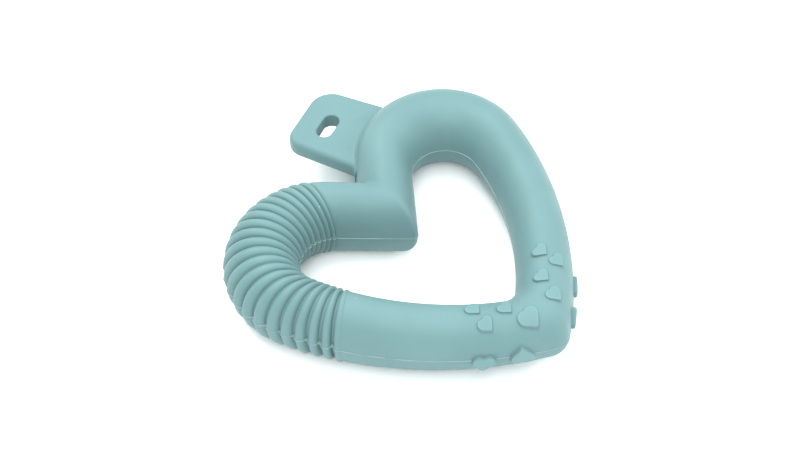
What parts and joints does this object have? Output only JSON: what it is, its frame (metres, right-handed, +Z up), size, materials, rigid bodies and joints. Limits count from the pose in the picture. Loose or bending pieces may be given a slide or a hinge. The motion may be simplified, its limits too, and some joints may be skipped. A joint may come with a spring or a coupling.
{
  "type": "teething ring",
  "caption": "Heart-shaped soft silicone teething ring with a ribbed lobe, raised heart bumps near the point and a slotted tab for a holder strap.",
  "frame": {"origin": "centre of the plan box, on the surface that the ring lies on", "axes": "+Z up with the ring lying flat, +X to the side of the plain lobe, -Y towards the point of the heart"},
  "size_m": [0.0956, 0.104, 0.0224],
  "materials": {
    "silicone": "soft satin moulded silicone, dusty teal"
  },
  "bodies": {
    "root": {"cleft_corner": "silicone", "smooth_lobe": "silicone", "smooth_side": "silicone", "tip_corner": "silicone", "ribbed_side": "silicone", "rib_01": "silicone", "rib_02": "silicone", "rib_03": "silicone", "rib_04": "silicone", "rib_05": "silicone", "rib_06": "silicone", "rib_07": "silicone", "rib_08": "silicone", "rib_09": "silicone", "rib_10": "silicone", "rib_11": "silicone", "rib_12": "silicone", "rib_13": "silicone", "rib_14": "silicone", "rib_15": "silicone", "rib_16": "silicone", "rib_17": "silicone", "rib_18": "silicone", "rib_19": "silicone", "rib_20": "silicone", "rib_21": "silicone", "strap_tab": "silicone", "heart_01": "silicone", "heart_02": "silicone", "heart_03": "silicone", "heart_04": "silicone", "heart_05": "silicone", "heart_06": "silicone", "heart_07": "silicone", "heart_08": "silicone", "side_heart_01": "silicone", "side_heart_02": "silicone", "side_heart_03": "silicone", "side_heart_04": "silicone"}
  },
  "joints": []
}
